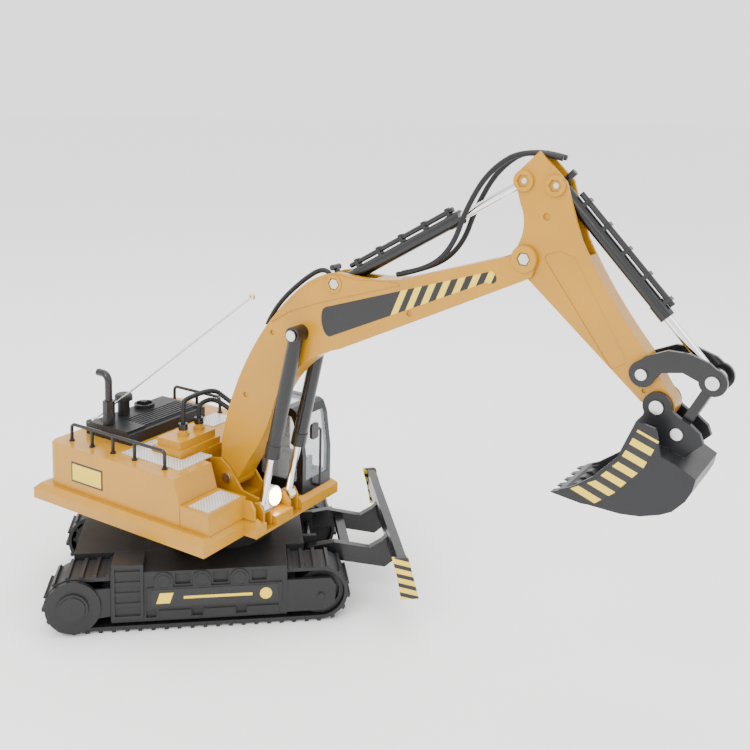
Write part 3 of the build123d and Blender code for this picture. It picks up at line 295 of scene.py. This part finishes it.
def newPiece(name, mesh, finishName, body):
    data = bpy.data.meshes.new(name)
    mesh.to_mesh(data)
    mesh.free()
    piece = bpy.data.objects.new(name, data)
    bpy.context.scene.collection.objects.link(piece)
    data.materials.append(finishes[finishName])
    if body:
        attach(piece, body)
    return piece


def platePiece(name, outline, place, across, thick, finishName, body, bevel=0.1):
    # a thin plate: an outline in x and z, pushed out along Y by its thickness
    mesh = bmesh.new()
    face = mesh.faces.new([mesh.verts.new(place(x, across, z)) for x, z in outline])
    pushed = bmesh.ops.extrude_face_region(mesh, geom=[face])
    shift = place(0, thick, 0)
    moved = [v for v in pushed["geom"] if isinstance(v, bmesh.types.BMVert)]
    bmesh.ops.translate(mesh, vec=shift, verts=moved)
    bmesh.ops.bevel(mesh, geom=mesh.edges[:], offset=bevel * mm, affect="EDGES", segments=1,
                    profile=0.5, material=-1)
    bmesh.ops.recalc_face_normals(mesh, faces=mesh.faces[:])
    return newPiece(name, mesh, finishName, body)


def boxOutline(x0, x1, z0, z1):
    return [(x0, z0), (x1, z0), (x1, z1), (x0, z1)]


def roundedEnds(lowLeft, topLeft, topRight, lowRight, bulge):
    # a long sticker outline with both ends rounded
    def cap(start, end):
        middle = Vector(start).lerp(Vector(end), 0.5)
        half = (Vector(end) - Vector(start)) / 2
        out = Vector((half.y, -half.x)).normalized() * bulge
        return [middle + half * -cos(pi * k / 8) + out * sin(pi * k / 8) for k in range(9)]
    return [tuple(p) for p in cap(topLeft, lowLeft) + cap(lowRight, topRight)]


stickerBevel = 0.05

# boom stickers on both sides, plain black with slanted stripes towards the tip
boomSticker = {"face": 11.0, "thick": 0.22, "lowLeft": (121.0, 248.5), "topLeft": (117.0, 272.0),
               "topRight": (259.8, 318.0), "lowRight": (256.0, 309.5), "bulge": 6.0}
for hand, sideName in ((-1, "right"), (1, "left")):
    outline = roundedEnds(boomSticker["lowLeft"], boomSticker["topLeft"], boomSticker["topRight"],
                          boomSticker["lowRight"], boomSticker["bulge"])
    platePiece("boom_sticker_" + sideName, outline, onHouse, hand * boomSticker["face"],
               hand * boomSticker["thick"], "boomSticker", "boom", stickerBevel)

# bucket side stickers
bucketSticker = {"face": 28.0, "thick": 0.2,
                 "outline": [(331, 180.2), (348, 173.6), (362, 185), (380, 206),
                             (389, 226), (375, 231), (364, 207.5), (348, 190)]}
for hand, sideName in ((-1, "right"), (1, "left")):
    platePiece("bucket_sticker_" + sideName, bucketSticker["outline"], onHouse, hand * bucketSticker["face"],
               hand * bucketSticker["thick"], "bucketStripes", "bucket", stickerBevel)

# plates on the track guards, each with a slanted bar, a thin stripe and a dot
guardPlate = {"face": 78.7, "thick": 0.3, "markThick": 0.15,
              "from": -56.0, "to": 46.5, "low": 23.0, "high": 38.0,
              "dotRadius": 5.0, "dotInset": 10.0, "stripeHalf": 1.2, "stripeInset": (26.0, 21.0)}
for hand, sideName in ((-1, "right"), (1, "left")):
    x0, x1, z0, z1 = (guardPlate[k] for k in ("from", "to", "low", "high"))
    face = hand * guardPlate["face"]
    platePiece("guard_plate_" + sideName, boxOutline(x0, x1, z0, z1), onTracks, face,
               hand * guardPlate["thick"], "glossBlack", "undercarriage")
    middle = (z0 + z1) / 2
    half = guardPlate["stripeHalf"]
    fromRear, fromFront = guardPlate["stripeInset"]
    bar = [(x0 + 4, z0 + 3), (x0 + 15, z0 + 3), (x0 + 18, z1 - 3), (x0 + 7, z1 - 3)]
    dotRadius = guardPlate["dotRadius"]
    dotX = x1 - guardPlate["dotInset"]
    dot = [(dotX + dotRadius * cos(pi * k / 12), middle + dotRadius * sin(pi * k / 12)) for k in range(24)]
    stripe = boxOutline(x0 + fromRear, x1 - fromFront, middle - half, middle + half)
    for markName, mark in (("bar", bar), ("dot", dot), ("stripe", stripe)):
        platePiece("guard_mark_%s_%s" % (sideName, markName), mark, onTracks,
                   face + hand * guardPlate["thick"], hand * guardPlate["markThick"],
                   "stickerYellow", "undercarriage", stickerBevel)

# a plain label on the right side of the deck: a dark plate with a yellow field on it
deckLabel = {"face": -78.2, "thick": 0.2, "edge": 1.6,
             "from": -105.0, "to": -66.0, "low": 97.0, "high": 115.0}
x0, x1, z0, z1 = (deckLabel[k] for k in ("from", "to", "low", "high"))
labelLayers = (("deck_label", 0, 0, "glossBlack"),
               ("deck_label_field", 1, deckLabel["edge"], "stickerYellow"))
for name, layer, inset, finishName in labelLayers:
    platePiece(name, boxOutline(x0 + inset, x1 - inset, z0 + inset, z1 - inset), onHouse,
               deckLabel["face"] - layer * deckLabel["thick"], -deckLabel["thick"], finishName, "house",
               stickerBevel)
print("stickers made")


# hoses
def routeOf(name, points, steps=24):
    curve = bpy.data.curves.new(name + "Route", "CURVE")
    curve.dimensions = "3D"
    spline = curve.splines.new("NURBS")
    spline.points.add(len(points) - 1)
    for point, place in zip(spline.points, points):
        point.co = (*place, 1)
    spline.order_u = 3
    spline.use_endpoint_u = True
    spline.resolution_u = steps
    holder = bpy.data.objects.new(name + "Route", curve)
    bpy.context.scene.collection.objects.link(holder)
    bpy.context.view_layer.update()
    line = bpy.data.meshes.new_from_object(holder)
    path = [v.co.copy() for v in line.vertices]
    bpy.data.objects.remove(holder)
    bpy.data.meshes.remove(line)
    return path


def evenly(path, step):
    marks, gone, want = [path[0]], 0.0, step
    for a, b in zip(path, path[1:]):
        length = (b - a).length
        while gone + length >= want:
            marks.append(a.lerp(b, (want - gone) / length))
            want += step
        gone += length
    return marks


def ribbedHose(name, points, radius, body, rib=1.5, depth=0.22, sides=12):
    marks = evenly(routeOf(name, points), rib * mm / 2)
    mesh = bmesh.new()
    rings = []
    for k, place in enumerate(marks):
        ahead = (marks[min(k + 1, len(marks) - 1)] - marks[max(k - 1, 0)]).normalized()
        turn = ahead.to_track_quat("Z", "Y").to_matrix().to_4x4()
        size = (radius - (depth if k % 2 else 0)) * mm
        ring = bmesh.ops.create_circle(mesh, segments=sides, radius=size,
                                       matrix=Matrix.Translation(place) @ turn)
        rings.append(ring["verts"])
    for a, b in zip(rings, rings[1:]):
        edges = {e for v in a for e in v.link_edges if e.other_vert(v) in a}
        edges |= {e for v in b for e in v.link_edges if e.other_vert(v) in b}
        bmesh.ops.bridge_loops(mesh, edges=list(edges))
    for ring in (rings[0], rings[-1]):
        mesh.faces.new(ring)
    bmesh.ops.recalc_face_normals(mesh, faces=mesh.faces[:])
    for face in mesh.faces:
        face.smooth = True
    return newPiece(name, mesh, "hose", body)


hoses = {"radius": 2.1, "valveRadius": 2.3, "blendFrom": (190, 0, 310), "blendTo": (284, 0, 402),
         "stick": [(178, 4, 304.6), (204, 6, 311.5), (226, 8.2, 330), (237, 8.2, 362), (254, 7.4, 390),
                   (280, 3.6, 406), (306, 3.6, 400)],
         "boom": [(50, 0, 246), (58, 0, 262), (85, 0, 287.5), (108, 0, 302), (113, 0, 296)],
         "valveFeet": ((-24, -24), (-24, -4)), "valveTops": (172, 163), "valveEnds": (-2, 8)}
for hand, sideName in ((-1, "right"), (1, "left")):
    stickRoute = [onHouse(x, hand * y, z) for x, y, z in hoses["stick"]]
    hose = ribbedHose("stick_hose_" + sideName, stickRoute, hoses["radius"], None)
    tuple(onHouse(*hoses["blendFrom"]))
    tuple(onHouse(*hoses["blendTo"]))
    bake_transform(hose)
    if hand < 0:
        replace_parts(hose, "stick_hoses")
boomRoute = [onHouse(*place) for place in hoses["boom"]]
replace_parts(ribbedHose("boom_back_hose", boomRoute, hoses["radius"], "boom"), "boom_hose")
for k, ((x, y), top, end) in enumerate(zip(hoses["valveFeet"], hoses["valveTops"], hoses["valveEnds"])):
    route = [onHouse(x, y, 148), onHouse(x, y, top - 4), onHouse(x, y + 3, top), onHouse(x + 2, 13, top + 1),
             onHouse((x + end) / 2, 19, top - 8), onHouse(end, 22, top - 14), onHouse(end, 28.8, top - 14)]
    hose = ribbedHose("valve_hose_%d" % k, route, hoses["valveRadius"], "house", rib=2.0, depth=0.35)
    if k == 0:
        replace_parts(hose, "valve_hoses")
print("hoses made")

# black collars around the feet of the valve hoses
collars = {"foot": 145.2, "high": 5.4, "radius": 4.1}
for k, (x, y) in enumerate(hoses["valveFeet"]):
    mesh = bmesh.new()
    middle = onHouse(x, y, collars["foot"] + collars["high"] / 2)
    bmesh.ops.create_cone(mesh, cap_ends=True, segments=24, radius1=collars["radius"] * mm,
                          radius2=collars["radius"] * mm, depth=collars["high"] * mm,
                          matrix=Matrix.Translation(middle))
    newPiece("hose_collar_%d" % k, mesh, "glossBlack", "house")

# lamp lens
lamp = {"at": (59.6, 0, 96.2), "radius": 7.4, "flat": 0.35, "lift": 0.12}
mesh = bmesh.new()
turn = (forward + up * lamp["lift"]).to_track_quat("Z", "Y").to_matrix().to_4x4()
flatten = Matrix.Diagonal((1, 1, lamp["flat"], 1))
bmesh.ops.create_uvsphere(mesh, u_segments=32, v_segments=16, radius=lamp["radius"] * mm,
                          matrix=Matrix.Translation(onHouse(*lamp["at"])) @ turn @ flatten)
for face in mesh.faces:
    face.smooth = True
newPiece("headlamp_lens", mesh, "glow", "house")
print("lamp made")

# floor, light and camera
studio = {"floorTone": (0.96, 0.96, 0.96, 1), "worldTone": (1, 1, 1, 1), "worldLight": 1.9}
mesh = bmesh.new()
bmesh.ops.create_grid(mesh, x_segments=2, y_segments=2, size=12)
floorData = bpy.data.meshes.new("floor")
mesh.to_mesh(floorData)
mesh.free()
floor = bpy.data.objects.new("floor", floorData)
bpy.context.scene.collection.objects.link(floor)
floorFinish = Finish("paleFloor", Roughness=0.9)
floorTone = studio["floorTone"]
floorFinish.feed("Base Color", floorFinish.blend(floorFinish.noise(3), floorTone, shade(floorTone, 1.02)))
floorData.materials.append(floorFinish.material)

world = bpy.data.worlds.new("studio")
bpy.context.scene.world = world
world.use_nodes = True
world.node_tree.nodes["Background"].inputs["Color"].default_value = studio["worldTone"]
world.node_tree.nodes["Background"].inputs["Strength"].default_value = studio["worldLight"]

lights = {  # place, size, power
    "keySoftbox": ((-0.9, -1.3, 1.5), 1.2, 26.0),
    "fillSoftbox": ((1.4, -1.1, 0.9), 1.4, 12.0),
    "topSoftbox": ((0.1, 0.3, 1.8), 1.6, 16.0),
}
aim = Vector((0.05, 0, 0.2))
for name, (place, size, power) in lights.items():
    light = bpy.data.lights.new(name, "AREA")
    light.size = size
    light.energy = power
    holder = bpy.data.objects.new(name, light)
    holder.location = place
    holder.rotation_euler = (aim - Vector(place)).to_track_quat("-Z", "Y").to_euler()
    bpy.context.scene.collection.objects.link(holder)

view = {"place": (0.01081, -0.83415, 0.44516), "heading": 8.42, "dip": 7.87, "roll": 1.29,
        "lens": 46.66, "shift": (-0.0037, -0.2048)}
heading, dip, roll = (radians(view[k]) for k in ("heading", "dip", "roll"))
look = Vector((sin(heading) * cos(dip), cos(heading) * cos(dip), -sin(dip)))
level = Vector((cos(heading), -sin(heading), 0))
rise = level.cross(look)
right = level * cos(roll) + rise * sin(roll)
top = rise * cos(roll) - level * sin(roll)
lensData = bpy.data.cameras.new("camera")
lensData.lens = view["lens"]
lensData.sensor_width = 36
lensData.shift_x, lensData.shift_y = view["shift"]
lensData.clip_start = 0.01
camera = bpy.data.objects.new("camera", lensData)
facing = Matrix((right, top, -look)).transposed().to_4x4()
camera.matrix_world = Matrix.Translation(Vector(view["place"])) @ facing
bpy.context.scene.collection.objects.link(camera)
bpy.context.scene.camera = camera
print("studio ready")
